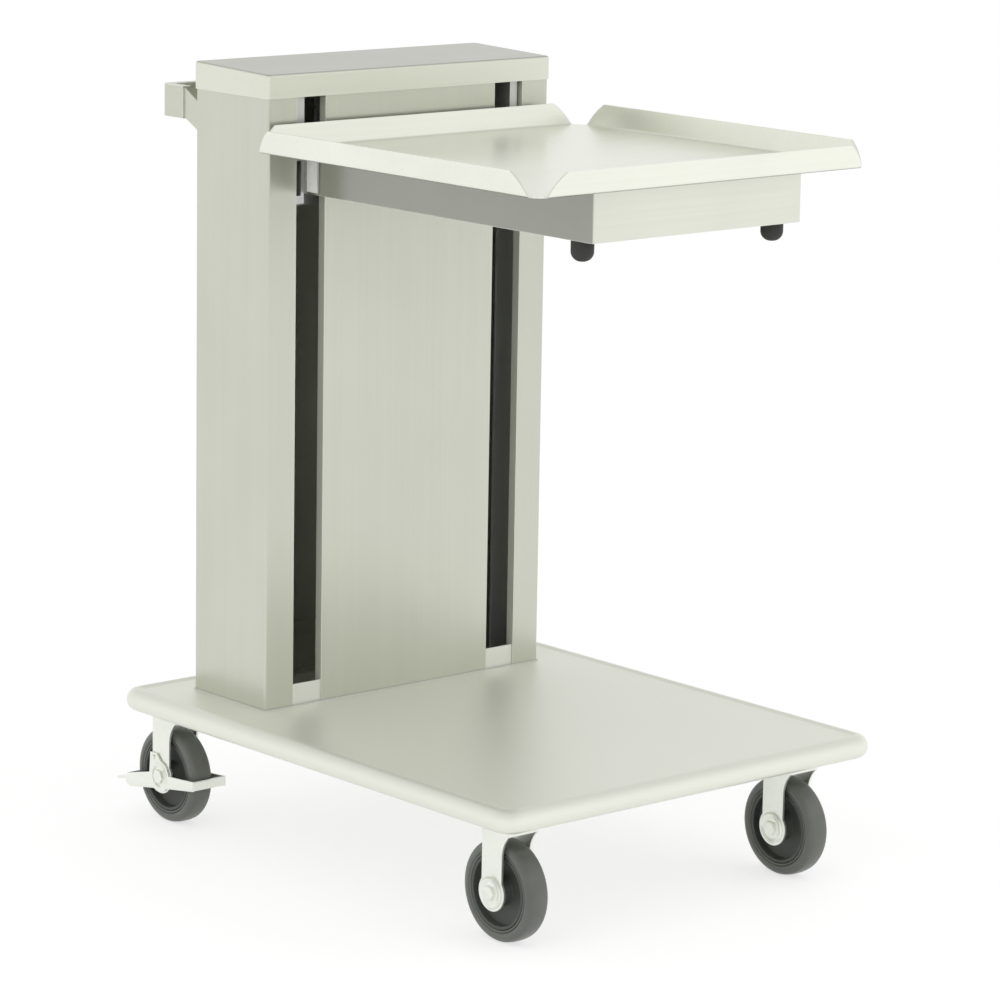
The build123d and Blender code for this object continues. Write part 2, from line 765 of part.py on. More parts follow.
def caster_fork(name, x, y, braked):
    """Pressed fork: crown with the lower race, a rounded front lip and two legs with bosses."""
    axle = y + caster_trail
    crown_bottom = crown_top - fork_sheet
    with BuildPart() as fork:
        with BuildSketch(across_y(axle + leg_half, x)) as bent_strip:
            with Locations((0, (wheel_height + crown_top) / 2)):
                Rectangle(2 * fork_half, crown_top - wheel_height)
            bends = bent_strip.vertices().group_by(Axis.Y)[-1]
            fillet(bends, 4)
            with Locations((0, (wheel_height + crown_bottom) / 2)):
                Rectangle(2 * (fork_half - fork_sheet), crown_bottom - wheel_height, mode=Mode.SUBTRACT)
        extrude(amount=crown_rear + crown_front)
        with BuildSketch(across_x(x - fork_half, axle)):
            front = -caster_trail - crown_front
            with BuildLine():
                Polyline(
                    (leg_half, wheel_height),
                    (leg_half, crown_top),
                    (front, crown_top),
                    (front, crown_top - 9),
                )
                RadiusArc((front, crown_top - 9), (-leg_half, crown_top - 34), 40)
                Polyline((-leg_half, crown_top - 34), (-leg_half, wheel_height), (leg_half, wheel_height))
            make_face()
        extrude(amount=2 * fork_half, mode=Mode.INTERSECT)
        with BuildSketch(across_x(x - fork_half + 3, axle)):
            with Locations((-caster_trail - crown_front + 1.25, crown_top - 4.5)):
                Rectangle(2.5, 9)
        extrude(amount=2 * fork_half - 6)
        with BuildSketch(Plane.XY.offset(crown_top)):
            with Locations((x, y)):
                Circle(fork_half - 4)
        extrude(amount=race_joint - crown_top)
        for start in (x - fork_half, x + fork_half - fork_sheet):
            with BuildSketch(across_x(start, axle, wheel_height)):
                Circle(boss_radius)
            extrude(amount=fork_sheet)
        with Locations((x, axle, wheel_height)):
            Cylinder(journal_radius + 0.05, 2 * fork_half + 2, rotation=(0, 90, 0), mode=Mode.SUBTRACT)
        with BuildSketch(Plane.XY.offset(crown_bottom)):
            with Locations((x, y)):
                Circle(king_pin_radius + bore_clearance)
        extrude(amount=race_joint - crown_bottom, mode=Mode.SUBTRACT)
        if braked:
            for side in (-1, 1):
                with BuildSketch(across_x(x + side * fork_half, axle, wheel_height)):
                    with Locations((brake_pin_y, brake_pin_z)):
                        Circle(brake_pin_radius)
                extrude(amount=side * 5)
    save(fork, f"caster_fork_{name}")


def caster_axle(name, x, axle):
    """Through bolt with a hexagon head on one side and a nut on the other."""
    with BuildPart() as bolt:
        with BuildSketch(across_x(x - fork_half, axle, wheel_height)):
            Circle(journal_radius)
        extrude(amount=2 * fork_half)
        with BuildSketch(across_x(x - fork_half, axle, wheel_height)):
            RegularPolygon(9.8, 6)
        extrude(amount=-6.4)
        with BuildSketch(across_x(x + fork_half, axle, wheel_height)):
            RegularPolygon(9.8, 6)
        extrude(amount=6.4)
    save(bolt, f"caster_axle_{name}")


def wheel_section(plane, points, round_corners, radius):
    """Half section of a wheel part, with the named corners rounded."""
    with BuildSketch(plane) as section:
        with BuildLine():
            Polyline(*points, close=True)
        make_face()
        for corner in round_corners:
            fillet(section.vertices().sort_by_distance(corner)[0], radius)
    return section.sketch


def caster_wheel(name, x, axle):
    """Hub with a recessed web, and the solid rubber tyre round it."""
    centre = (x, axle, wheel_height)
    spin = Axis(centre, (1, 0, 0))
    plane = Plane(origin=centre, x_dir=(1, 0, 0), z_dir=(0, -1, 0))
    bore = journal_radius + bore_clearance
    felloe = tyre_inner - 5
    rim_half = tyre_width / 2 - 1
    web = 5
    with BuildPart() as hub:
        hub_points = (
            (-hub_half, bore),
            (-hub_half, 15),
            (-web, 19),
            (-web, felloe),
            (-rim_half, felloe + 1),
            (-rim_half, tyre_inner),
            (rim_half, tyre_inner),
            (rim_half, felloe + 1),
            (web, felloe),
            (web, 19),
            (hub_half, 15),
            (hub_half, bore),
        )
        section = wheel_section(plane, hub_points, (), 0)
        revolve(section, axis=spin)
    save(hub, f"wheel_hub_{name}")
    with BuildPart() as tyre:
        half = tyre_width / 2
        tyre_points = (
            (-half, tyre_inner),
            (-half, wheel_radius - 4),
            (-half + 7, wheel_radius),
            (half - 7, wheel_radius),
            (half, wheel_radius - 4),
            (half, tyre_inner),
        )
        section = wheel_section(plane, tyre_points, ((-half + 7, wheel_radius), (half - 7, wheel_radius)), 5)
        revolve(section, axis=spin)
    save(tyre, f"wheel_tyre_{name}")


def brake_lever(name, x, axle):
    """Two ears pivoted on the fork, joined by the shoe and pedal behind and a bar in front."""
    ear_start = fork_half + 0.8
    ear_sheet = 2.5
    span = ear_start + ear_sheet
    with BuildPart() as lever:
        for start in (x - span, x + ear_start):
            with BuildSketch(across_x(start, axle, wheel_height)):
                with BuildLine():
                    Polyline(
                        (-74, -5),
                        (0, -16),
                        (64, -27),
                        (74, -22),
                        (70, -10),
                        (21, 2),
                        (19, brake_pin_z + 6),
                        (brake_pin_y - 7, brake_pin_z + 6),
                        (-19, 4),
                        (-74, 8),
                        close=True,
                    )
                make_face()
                Circle(21)
                Circle(14.5, mode=Mode.SUBTRACT)
                with Locations((brake_pin_y, brake_pin_z)):
                    Circle(brake_pin_radius + bore_clearance, mode=Mode.SUBTRACT)
            extrude(amount=ear_sheet)
        with BuildSketch(across_x(x - span, axle, wheel_height)):
            with Locations((66.5, -17.8)):
                Rectangle(3, 18, rotation=-15)
            with Locations((80, -18)):
                Rectangle(26, 3, rotation=-12)
            with Locations((-72.5, 1.5)):
                Rectangle(3, 12)
        extrude(amount=2 * span)
    save(lever, f"brake_lever_{name}")


for name, x, y, braked in caster_spots:
    axle = y + caster_trail
    caster_mount(name, x, y)
    caster_fork(name, x, y, braked)
    caster_axle(name, x, axle)
    caster_wheel(name, x, axle)
    if braked:
        brake_lever(name, x, axle)

# Washers and nuts that hold the caster stems in the channels, one node of four
with BuildPart() as stem_nuts:
    stem_spots = [(x, y) for _, x, y, _ in caster_spots]
    with BuildSketch(Plane.XY.offset(mount_top + channel_web)):
        with Locations(*stem_spots):
            Circle(10)
            Circle(king_pin_radius + 0.05, mode=Mode.SUBTRACT)
    extrude(amount=1.6)
    with BuildSketch(Plane.XY.offset(mount_top + channel_web + 1.6)):
        with Locations(*stem_spots):
            RegularPolygon(9.5, 6)
            Circle(king_pin_radius + 0.05, mode=Mode.SUBTRACT)
    extrude(amount=nut_height - 1.6)
save(stem_nuts, "stem_nuts")
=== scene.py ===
"""Finishes, small hardware and studio for the mobile tray dispenser."""

import json
import math
from contextlib import contextmanager

import bpy
from bpy.props import FloatProperty, FloatVectorProperty, IntProperty, PointerProperty
from bpy.types import Operator, Panel, PropertyGroup
from mathutils import Matrix, Vector


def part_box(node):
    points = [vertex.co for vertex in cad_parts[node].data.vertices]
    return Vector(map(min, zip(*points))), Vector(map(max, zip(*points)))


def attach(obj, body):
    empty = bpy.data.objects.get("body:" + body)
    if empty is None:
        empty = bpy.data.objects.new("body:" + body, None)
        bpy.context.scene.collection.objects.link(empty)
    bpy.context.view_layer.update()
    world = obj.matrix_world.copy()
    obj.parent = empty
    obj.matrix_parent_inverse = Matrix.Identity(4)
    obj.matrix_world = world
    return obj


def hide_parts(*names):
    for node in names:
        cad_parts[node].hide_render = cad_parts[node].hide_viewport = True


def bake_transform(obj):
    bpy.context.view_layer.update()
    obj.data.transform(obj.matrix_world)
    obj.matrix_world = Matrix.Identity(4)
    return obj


bl_info = {
    "name": "Mobile tray dispenser",
    "version": (1, 0, 0),
    "blender": (4, 5, 0),
    "location": "View3D > Sidebar > Dispenser",
    "description": "Dresses the tray dispenser in its sheet metal, rubber and wheel finishes and lights it",
    "category": "Object",
}

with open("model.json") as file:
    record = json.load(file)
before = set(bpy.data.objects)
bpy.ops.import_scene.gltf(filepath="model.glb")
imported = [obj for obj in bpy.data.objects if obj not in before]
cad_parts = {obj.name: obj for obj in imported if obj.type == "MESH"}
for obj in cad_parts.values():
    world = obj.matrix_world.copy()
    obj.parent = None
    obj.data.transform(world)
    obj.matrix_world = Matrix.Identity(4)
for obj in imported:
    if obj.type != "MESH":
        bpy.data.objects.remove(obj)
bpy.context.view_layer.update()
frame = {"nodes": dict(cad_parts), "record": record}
nodes = frame["nodes"]

CASTERS = ("front_left", "front_right", "rear_left", "rear_right")
SPRINGS = (1, 2, 3, 4)
UP = (0.0, 0.0, 1.0)
DOWN = (0.0, 0.0, -1.0)
LEFT = (-1.0, 0.0, 0.0)
RIGHT = (1.0, 0.0, 0.0)
WHITE = (1.0, 1.0, 1.0, 1.0)

# Brushed grain, in marks per metre along X, Y and Z
FINE = 260.0
LONG = 3.0
UPRIGHT = (FINE, FINE, LONG)
CROSSWISE = (LONG, FINE, FINE)
LENGTHWISE = (FINE, LONG, FINE)

# A sheet's marks: their scale, how far they darken, lighten and roughen it, and the width of the painted highlight
# along its edges
MARK_SCALE = 5.0
MARK_WARP = (0.07, 0.07, 0.07)
MARK_DARKENS = 0.055
MARK_LIGHTENS = 0.045
MARK_ROUGHENS = 0.035
EDGE_HIGHLIGHT_WIDTH = 0.0018
GRAIN_STRENGTH = 0.12

# Painted shade: the share of the colour left on a sheet's faces that turn up, down or sideways, darkened to stand in
# for shade, and the finish of single sheets
CAP_TOP_SHADE = 0.62
TRAY_UNDERSIDE_SHADE = 0.35
CARRIER_SIDES_SHADE = 0.46
CARRIER_UNDERSIDE_SHADE = 0.5
CARRIER_SMOOTHER = 0.08
DECK_MARKED = 0.15
CLOSURE_ROUGHNESS = 0.6

# The rough, less metallic flanges beside the slots
RETURN_ROUGHNESS = 0.85
RETURN_METAL = 0.25

# Moulded parts: scale of the marks, how far they darken, lighten and roughen it, and the stipple
BLOOM_SCALE = 14.0
BLOOM_DARKEST = 0.8
BLOOM_LIGHTEST = 1.3
BLOOM_ROUGHENS = 0.08
STIPPLE_STRENGTH = 0.3
STIPPLE_DEPTH = 0.0001

# Plated parts: marks per metre, colour and roughness
PLATED = {
    "zinc_plate": (260.0, (0.88, 0.9, 0.83), 0.3),
    "weld_bead": (900.0, (0.6, 0.6, 0.55), 0.45),
    "galvanised_sheet": (60.0, (0.66, 0.67, 0.65), 0.42),
    "drawn_wire": (500.0, (0.5, 0.51, 0.49), 0.36),
}

# Width of the rounded edges, by how a node's name starts
EDGE_WIDTHS = {
    "caster_fork": 0.0006,
    "caster_mount": 0.0005,
    "caster_axle": 0.0007,
    "wheel_hub": 0.0008,
    "brake_lever": 0.0005,
    "stem_nuts": 0.0006,
    "arm_bolts": 0.0005,
    "roller_axles": 0.0005,
    "roller_upper": 0.0005,
    "roller_lower": 0.0005,
    "hanger_pins": 0.0004,
    "panel_screws": 0.0004,
    "anchor_pins": 0.0004,
    "bumpers": 0.0006,
    "stop_pads": 0.0008,
}

# Points closer than this, in metres, are one, and so are faces that meet flatter than this, in degrees
MERGE_DISTANCE = 0.00001
FLAT_ANGLE = 0.6

# Tyre: radius of the bore, and the bead as (in from the side, out from the bore)
TYRE_BORE = 0.047
TYRE_BEAD = ((0.0035, 0.0), (0.001, 0.0012), (0.001, 0.0028), (0.0022, 0.0036), (0.0002, 0.0052))
TREAD_CROWN = 0.0006
SHOULDER_STEPS = 8
SHOULDER_DEPTH = 0.9
CROWN_HALF = 0.3
FORK_LEG_FACE = -0.0235
WASHER_STEPS = 48
RACE_RING_RADIUS = 0.0012

# Lift springs: heights of the coils' ends and of the pins, and how far an eye reaches past its pin
COIL_FOOT = 0.849
COIL_TOP = 0.969
HANGER_PIN = 0.982
ANCHOR_PIN = 0.836
EYE_REACH = 0.0042
COIL_STEPS = 20

# Pads on the arms: the middle of the right one, their thickness, the rim pressed in them and their two screws
PAD_SIDE = 0.1715
PAD_FORWARD = 0.161
PAD_UP = 0.869
PAD_THICKNESS = 0.003
PAD_RIM = 0.0016
PAD_RIM_DEPTH = 0.0006
PAD_ROUNDING = 0.0005
SCREW_SIDE = 0.1738
SCREW_APART = 0.012
SCREW_RADIUS = 0.0032
SCREW_HEIGHT = 0.0012
SCREW_ROUNDING = 0.0004

# Weld bead: its height, how far it stands off the tower in all, its corners and its radius
WELD_HEIGHT = 0.1852
WELD_STAND_OFF = 0.001
WELD_CORNER = 0.003
WELD_RADIUS = 0.0015

# Studio: floor, dome, lamps and camera
FLOOR_SIZE = 60.0
PAPER_TONES = (0.80, 0.82)
PAPER_IN_VIEW = 0.5
PAPER_GLOW = 0.67
DOME_WHITE_BELOW = 0.15
DOME_SOFT_ABOVE = 0.9
DOME_TOP_LEVEL = 0.55
LAMP_AIM = (0.0, 0.0, 0.5)
KEY_PLACE = (2.2, -3.4, 2.6)
KEY_SIZE = (3.8, 3.2)
FILL_PLACE = (-3.2, -1.0, 2.4)
FILL_SIZE = (2.6, 2.8)
SENSOR_WIDTH = 36.0
VIEW_REACH = 100.0


class SheetMetalLook(PropertyGroup):
    """Colours and grain of the folded sheets."""

    steel_colour: FloatVectorProperty(
        name="Steel colour", description="Colour of the satin sheet", subtype="COLOR", default=(0.62, 0.632, 0.548)
    )
    # A lighter copy of the steel colour, standing in for light on the cap
    cap_colour: FloatVectorProperty(
        name="Cap colour", description="Colour of the tower's cap", subtype="COLOR", default=(0.75, 0.765, 0.665)
    )
    # A lighter copy of the steel colour, standing in for light on the carrier's front
    carrier_colour: FloatVectorProperty(
        name="Carrier colour",
        description="Colour of the frame under the platform",
        subtype="COLOR",
        default=(0.765, 0.78, 0.69),
    )
    # A lighter copy of the steel colour, standing in for light on the deck and the platform
    deck_colour: FloatVectorProperty(
        name="Deck colour", description="Colour of the deck and platform", subtype="COLOR", default=(0.88, 0.893, 0.8)
    )
    # Painted light: the colour of the painted highlight on edges and folds, and a lighter copy of the steel on the
    # set-back slot closures, standing in for light on them
    painted_light_colour: FloatVectorProperty(
        name="Edge colour",
        description="Colour of rubbed edges and of the plates that close the slots",
        subtype="COLOR",
        default=(0.87, 0.88, 0.82),
    )
    sheet_roughness: FloatProperty(
        name="Sheet roughness", description="Roughness of the satin sheet", default=0.3, min=0.0, max=1.0
    )
    deck_roughness: FloatProperty(
        name="Deck roughness", description="Roughness of the polished deck", default=0.42, min=0.0, max=1.0
    )
    metal_share: FloatProperty(
        name="Metal share",
        description="How much of the satin mirrors, the rest scatters",
        default=0.78,
        min=0.0,
        max=1.0,
    )
    deck_share: FloatProperty(
        name="Deck metal share",
        description="How much of the deck mirrors, the rest scatters",
        default=0.5,
        min=0.0,
        max=1.0,
    )
    grain_bump: FloatProperty(
        name="Grain bump", description="Depth of the brushed grain", default=0.00002, unit="LENGTH"
    )


class RubberLook(PropertyGroup):
    """Colours of the wheels, bumpers, pads, races and rollers."""

    tyre_colour: FloatVectorProperty(
        name="Tyre colour", description="Colour of the wheel tread", subtype="COLOR", default=(0.14, 0.147, 0.13)
    )
    hub_colour: FloatVectorProperty(
        name="Hub colour", description="Colour of the wheel centre", subtype="COLOR", default=(0.07, 0.075, 0.064)
    )
    bumper_colour: FloatVectorProperty(
        name="Bumper colour", description="Colour of the rubber feet", subtype="COLOR", default=(0.03, 0.03, 0.028)
    )
    pad_colour: FloatVectorProperty(
        name="Pad colour", description="Colour of the pads on the arms", subtype="COLOR", default=(0.86, 0.87, 0.8)
    )
    race_colour: FloatVectorProperty(
        name="Race colour",
        description="Colour of the greased swivel races",
        subtype="COLOR",
        default=(0.07, 0.05, 0.03),
    )
    nylon_colour: FloatVectorProperty(
        name="Nylon colour", description="Colour of the guide rollers", subtype="COLOR", default=(0.72, 0.70, 0.62)
    )


class CasterSizes(PropertyGroup):
    """Shapes of the casters' visible parts."""

    tyre_shoulder: FloatProperty(
        name="Tyre shoulder", description="How much the tread rounds over", default=0.0085, unit="LENGTH"
    )
    tyre_steps: IntProperty(name="Tyre steps", description="Facets round the tyre", default=80)
    washer_radius: FloatProperty(
        name="Washer radius", description="Radius of the cup washer on the axle", default=0.0195, unit="LENGTH"
    )
    race_height: FloatProperty(
        name="Race height", description="Height of the gap between the races", default=0.1509, unit="LENGTH"
    )
    race_radius: FloatProperty(
        name="Race radius", description="Radius of the ring in that gap", default=0.0275, unit="LENGTH"
    )


class SpringSizes(PropertyGroup):
    """Shapes of the coiled lift springs and the pads on the arms."""

    coil_radius: FloatProperty(
        name="Coil radius", description="To the middle of the wire", default=0.0108, unit="LENGTH"
    )
    wire_radius: FloatProperty(name="Wire radius", description="Half the wire", default=0.0011, unit="LENGTH")
    coil_count: IntProperty(name="Coils", description="Turns of each spring", default=54)
    pad_width: FloatProperty(name="Pad width", description="Width of an arm pad", default=0.021, unit="LENGTH")
    pad_height: FloatProperty(name="Pad height", description="Height of an arm pad", default=0.04, unit="LENGTH")


class StudioSetup(PropertyGroup):
    """Where the camera stands and how bright the lamps are."""

    azimuth: FloatProperty(
        name="Azimuth", description="Turn of the camera from straight ahead", default=-40.86, unit="NONE"
    )
    elevation: FloatProperty(name="Elevation", description="Camera height angle", default=11.53)
    roll: FloatProperty(name="Roll", description="Camera roll", default=0.97)
    distance: FloatProperty(
        name="Distance", description="From the camera to the object", default=5.4734, unit="LENGTH"
    )
    target_height: FloatProperty(
        name="Target height", description="Height that the camera looks at", default=0.462, unit="LENGTH"
    )
    target_side: FloatProperty(
        name="Target side", description="How far to the right it looks", default=0.00614, unit="LENGTH"
    )
    lens: FloatProperty(name="Lens", description="Focal length in millimetres", default=155.37)
    key_power: FloatProperty(name="Key power", description="Power of the main lamp", default=31.0, unit="POWER")
    fill_power: FloatProperty(name="Fill power", description="Power of the side lamp", default=16.0, unit="POWER")
    sky_level: FloatProperty(name="Sky level", description="Brightness of the surroundings", default=0.8)


def add_node(tree, kind, inputs=None, **settings):
    """One node with its settings, its inputs given as constants or as sockets to link."""
    made = tree.nodes.new(kind)
    for key, value in settings.items():
        setattr(made, key, value)
    for key, value in (inputs or {}).items():
        if isinstance(value, bpy.types.NodeSocket):
            tree.links.new(value, made.inputs[key])
        else:
            made.inputs[key].default_value = value
    return made


def maths(tree, operation, *values):
    """The result of one step of arithmetic."""
    return add_node(tree, "ShaderNodeMath", dict(enumerate(values)), operation=operation).outputs[0]


def ranged(tree, value, low, high, at_low=0.0, at_high=1.0, kind="LINEAR"):
    """A value that runs from at_low to at_high while another runs from low to high."""
    return add_node(
        tree,
        "ShaderNodeMapRange",
        {"Value": value, "From Min": low, "From Max": high, "To Min": at_low, "To Max": at_high},
        interpolation_type=kind,
    ).outputs["Result"]


def mixed(tree, share, first, second):
    """A value between two others."""
    return add_node(
        tree, "ShaderNodeMix", {"Factor": share, 2: first, 3: second}, data_type="FLOAT"
    ).outputs[0]


def noise(tree, vector, scale, detail):
    """Cloudy noise."""
    return add_node(tree, "ShaderNodeTexNoise", {"Vector": vector, "Scale": scale, "Detail": detail})


def alignment(tree, first, second):
    """How far two directions agree, 1 where they are the same."""
    return add_node(
        tree, "ShaderNodeVectorMath", {0: first, 1: second}, operation="DOT_PRODUCT"
    ).outputs["Value"]


def darkened(tree, colour, level):
    """A colour times a level."""
    return add_node(
        tree, "ShaderNodeVectorMath", {0: colour, "Scale": level}, operation="SCALE"
    ).outputs["Vector"]


def group_tree(name, takes, gives):
    """An empty shader group with the named sockets, and its input and output nodes."""
    tree = bpy.data.node_groups.new(name, "ShaderNodeTree")
    for label, kind, value in takes:
        socket = tree.interface.new_socket(label, in_out="INPUT", socket_type=kind)
        if value is not None:
            socket.default_value = value
    for label, kind in gives:
        tree.interface.new_socket(label, in_out="OUTPUT", socket_type=kind)
    return tree, tree.nodes.new("NodeGroupInput"), tree.nodes.new("NodeGroupOutput")


def brushed_grain_group():
    """Fine parallel scratches with a slower unevenness across them."""
    tree, given, result = group_tree(
        "brushed_grain",
        [("Vector", "NodeSocketVector", None), ("Contrast", "NodeSocketFloat", 1.0)],
        [("Streak", "NodeSocketFloat"), ("Height", "NodeSocketFloat")],
    )
    fine = noise(tree, given.outputs["Vector"], 1.0, 1.0).outputs["Fac"]
    broad = noise(tree, given.outputs["Vector"], 0.12, 2.0).outputs["Fac"]
    centred = maths(tree, "SUBTRACT", maths(tree, "ADD", fine, broad), 1.0)
    streak = maths(tree, "MULTIPLY", centred, given.outputs["Contrast"])
    tree.links.new(streak, result.inputs["Streak"])
    tree.links.new(fine, result.inputs["Height"])


def handling_marks_group():
    """Cloudy wipe marks that make a sheet a little duller or brighter, from -1 to 1."""
    tree, given, result = group_tree(
        "handling_marks",
        [("Vector", "NodeSocketVector", None), ("Scale", "NodeSocketFloat", 6.0)],
        [("Mark", "NodeSocketFloat")],
    )
    warp = noise(tree, given.outputs["Vector"], given.outputs["Scale"], 3.0)
    moved = add_node(
        tree,
        "ShaderNodeVectorMath",
        {0: warp.outputs["Color"], 1: MARK_WARP, 2: given.outputs["Vector"]},
        operation="MULTIPLY_ADD",
    )
    cloud = noise(tree, moved.outputs[0], given.outputs["Scale"], 3.0)
    mark = ranged(tree, cloud.outputs["Fac"], 0.15, 0.85, -1.0, 1.0)
    tree.links.new(mark, result.inputs["Mark"])


def painted_edge_highlight_group():
    """A mask of the outer edges and folds, where a painted highlight lightens the sheet, broken into patches."""
    tree, given, result = group_tree(
        "painted_edge_highlight",
        [("Width", "NodeSocketFloat", 0.0015), ("Vector", "NodeSocketVector", None)],
        [("Edge", "NodeSocketFloat")],
    )
    rounded = add_node(tree, "ShaderNodeBevel", {"Radius": given.outputs["Width"]}, samples=4)
    face = add_node(tree, "ShaderNodeNewGeometry")
    along = alignment(tree, rounded.outputs["Normal"], face.outputs["Normal"])
    bent = ranged(tree, along, 0.995, 0.82)
    patches = noise(tree, given.outputs["Vector"], 60.0, 3.0)
    kept = ranged(tree, patches.outputs["Fac"], 0.3, 0.6, 0.45, 1.0)
    tree.links.new(maths(tree, "MULTIPLY", bent, kept), result.inputs["Edge"])


def facing_group():
    """How far a surface faces along an axis, from 0 to 1."""
    tree, given, result = group_tree(
        "facing", [("Axis", "NodeSocketVector", UP)], [("Facing", "NodeSocketFloat")]
    )
    face = add_node(tree, "ShaderNodeNewGeometry")
    along = alignment(tree, face.outputs["True Normal"], given.outputs["Axis"])
    tree.links.new(ranged(tree, along, 0.55, 0.9), result.inputs["Facing"])


def slot_return_group():
    """A mask of the flanges that turn back beside the tower's slots, which are left rough and less metallic."""
    tree, given, result = group_tree(
        "slot_return",
        [
            ("Vector", "NodeSocketVector", None),
            ("Nearest", "NodeSocketFloat", 0.138),
            ("Farthest", "NodeSocketFloat", 0.188),
            ("Behind", "NodeSocketFloat", 0.1765),
            ("Depth", "NodeSocketFloat", 0.013),
        ],
        [("Return", "NodeSocketFloat")],
    )
    spot = add_node(tree, "ShaderNodeSeparateXYZ", {"Vector": given.outputs["Vector"]})
    aside = maths(tree, "ABSOLUTE", spot.outputs["X"])
    past = maths(tree, "GREATER_THAN", aside, given.outputs["Nearest"])
    within = maths(tree, "LESS_THAN", aside, given.outputs["Farthest"])
    back = maths(tree, "GREATER_THAN", spot.outputs["Y"], given.outputs["Behind"])
    rear = maths(tree, "ADD", given.outputs["Behind"], given.outputs["Depth"])
    near = maths(tree, "LESS_THAN", spot.outputs["Y"], rear)
    beside = maths(tree, "MULTIPLY", past, within)
    between = maths(tree, "MULTIPLY", back, near)
    tree.links.new(maths(tree, "MULTIPLY", beside, between), result.inputs["Return"])


def use_group(tree, shared, **inputs):
    """Places a shared effect in a material."""
    return add_node(tree, "ShaderNodeGroup", inputs, node_tree=bpy.data.node_groups[shared])


def new_material(name, **shader_values):
    """A material with its Principled shader, the piece's own coordinates and the constants set."""
    material = bpy.data.materials.new(name)
    material.use_nodes = True
    tree = material.node_tree
    shader = tree.nodes["Principled BSDF"]
    for key, value in shader_values.items():
        shader.inputs[key.replace("_", " ")].default_value = value
    place = add_node(tree, "ShaderNodeTexCoord")
    return material, tree, shader, place.outputs["Object"]


def tinted(tree, colour, amount, low, high):
    """The colour made darker or lighter where amount runs from -1 to 1."""
    return darkened(tree, colour[:3], ranged(tree, amount, -1.0, 1.0, low, high))


def add_relief(tree, shader, height, strength, distance):
    """Bumps the surface by a height."""
    relief = add_node(tree, "ShaderNodeBump", {"Height": height, "Strength": strength, "Distance": distance})
    tree.links.new(relief.outputs["Normal"], shader.inputs["Normal"])


def satin_sheet(name, grain, colour, roughness, look, painted_shade=(), returns=None, marked=1.0, mirrors=None):
    """Brushed sheet.

    grain gives the marks per metre along X, Y and Z. Faces towards each direction listed as painted shade get a
    darker colour that stands in for shade, each keeping the listed share of the colour. returns is the roughness of
    the flanges beside the slots, marked is how much the sheet varies, and mirrors replaces the usual metal share.
    """
    material, tree, shader, place = new_material(name, Metallic=mirrors or look.metal_share)
    stretch = add_node(tree, "ShaderNodeMapping", {"Vector": place, "Scale": grain})
    scratches = use_group(tree, "brushed_grain", Vector=stretch.outputs["Vector"], Contrast=1.0)
    marks = use_group(tree, "handling_marks", Vector=place, Scale=MARK_SCALE)
    edges = use_group(tree, "painted_edge_highlight", Width=EDGE_HIGHLIGHT_WIDTH, Vector=place)
    worn = maths(tree, "ADD", scratches.outputs["Streak"], marks.outputs["Mark"])
    sheet = tinted(tree, colour, worn, 1.0 - MARK_DARKENS * marked, 1.0 + MARK_LIGHTENS * marked)
    # Painted shade: faces towards each listed direction are darkened to stand in for shade
    for axis, left in painted_shade:
        facing = use_group(tree, "facing", Axis=axis)
        level = ranged(tree, facing.outputs["Facing"], 0.0, 1.0, 1.0, left, kind="SMOOTHSTEP")
        sheet = darkened(tree, sheet, level)
    # Painted highlight: edges and folds take the edge colour
    highlighted = add_node(
        tree,
        "ShaderNodeMix",
        {0: edges.outputs["Edge"], 6: sheet, 7: (*look.painted_light_colour, 1.0)},
        data_type="RGBA",
    )
    tree.links.new(highlighted.outputs[2], shader.inputs["Base Color"])
    uneven = MARK_ROUGHENS * marked
    rough = ranged(tree, worn, -1.0, 1.0, roughness - uneven, roughness + uneven)
    if returns:
        mask = use_group(tree, "slot_return", Vector=place).outputs["Return"]
        rough = mixed(tree, mask, rough, returns)
        bare = mixed(tree, mask, look.metal_share, RETURN_METAL)
        tree.links.new(bare, shader.inputs["Metallic"])
    tree.links.new(rough, shader.inputs["Roughness"])
    add_relief(tree, shader, scratches.outputs["Height"], GRAIN_STRENGTH, look.grain_bump)
    return material


def moulded(name, colour, roughness, grain):
    """Rubber or plastic with a fine moulded texture and a dusty bloom."""
    material, tree, shader, place = new_material(name)
    marks = use_group(tree, "handling_marks", Vector=place, Scale=BLOOM_SCALE)
    tint = tinted(tree, colour, marks.outputs["Mark"], BLOOM_DARKEST, BLOOM_LIGHTEST)
    tree.links.new(tint, shader.inputs["Base Color"])
    rough = ranged(tree, marks.outputs["Mark"], -1.0, 1.0, roughness - BLOOM_ROUGHENS, roughness + BLOOM_ROUGHENS)
    tree.links.new(rough, shader.inputs["Roughness"])
    stipple = noise(tree, place, grain, 3.0)
    add_relief(tree, shader, stipple.outputs["Fac"], STIPPLE_STRENGTH, STIPPLE_DEPTH)
    return material


def dress(material, *names):
    """Gives CAD nodes a material, on the object's own slots."""
    for name in names:
        for slot in nodes[name].material_slots:
            slot.link = "OBJECT"
            slot.material = material


class DISPENSER_OT_shared_effects(Operator):
    """Makes the effects that several finishes share"""

    bl_idname = "dispenser.shared_effects"
    bl_label = "Shared effects"

    def execute(self, context):
        brushed_grain_group()
        handling_marks_group()
        painted_edge_highlight_group()
        facing_group()
        slot_return_group()
        return {"FINISHED"}


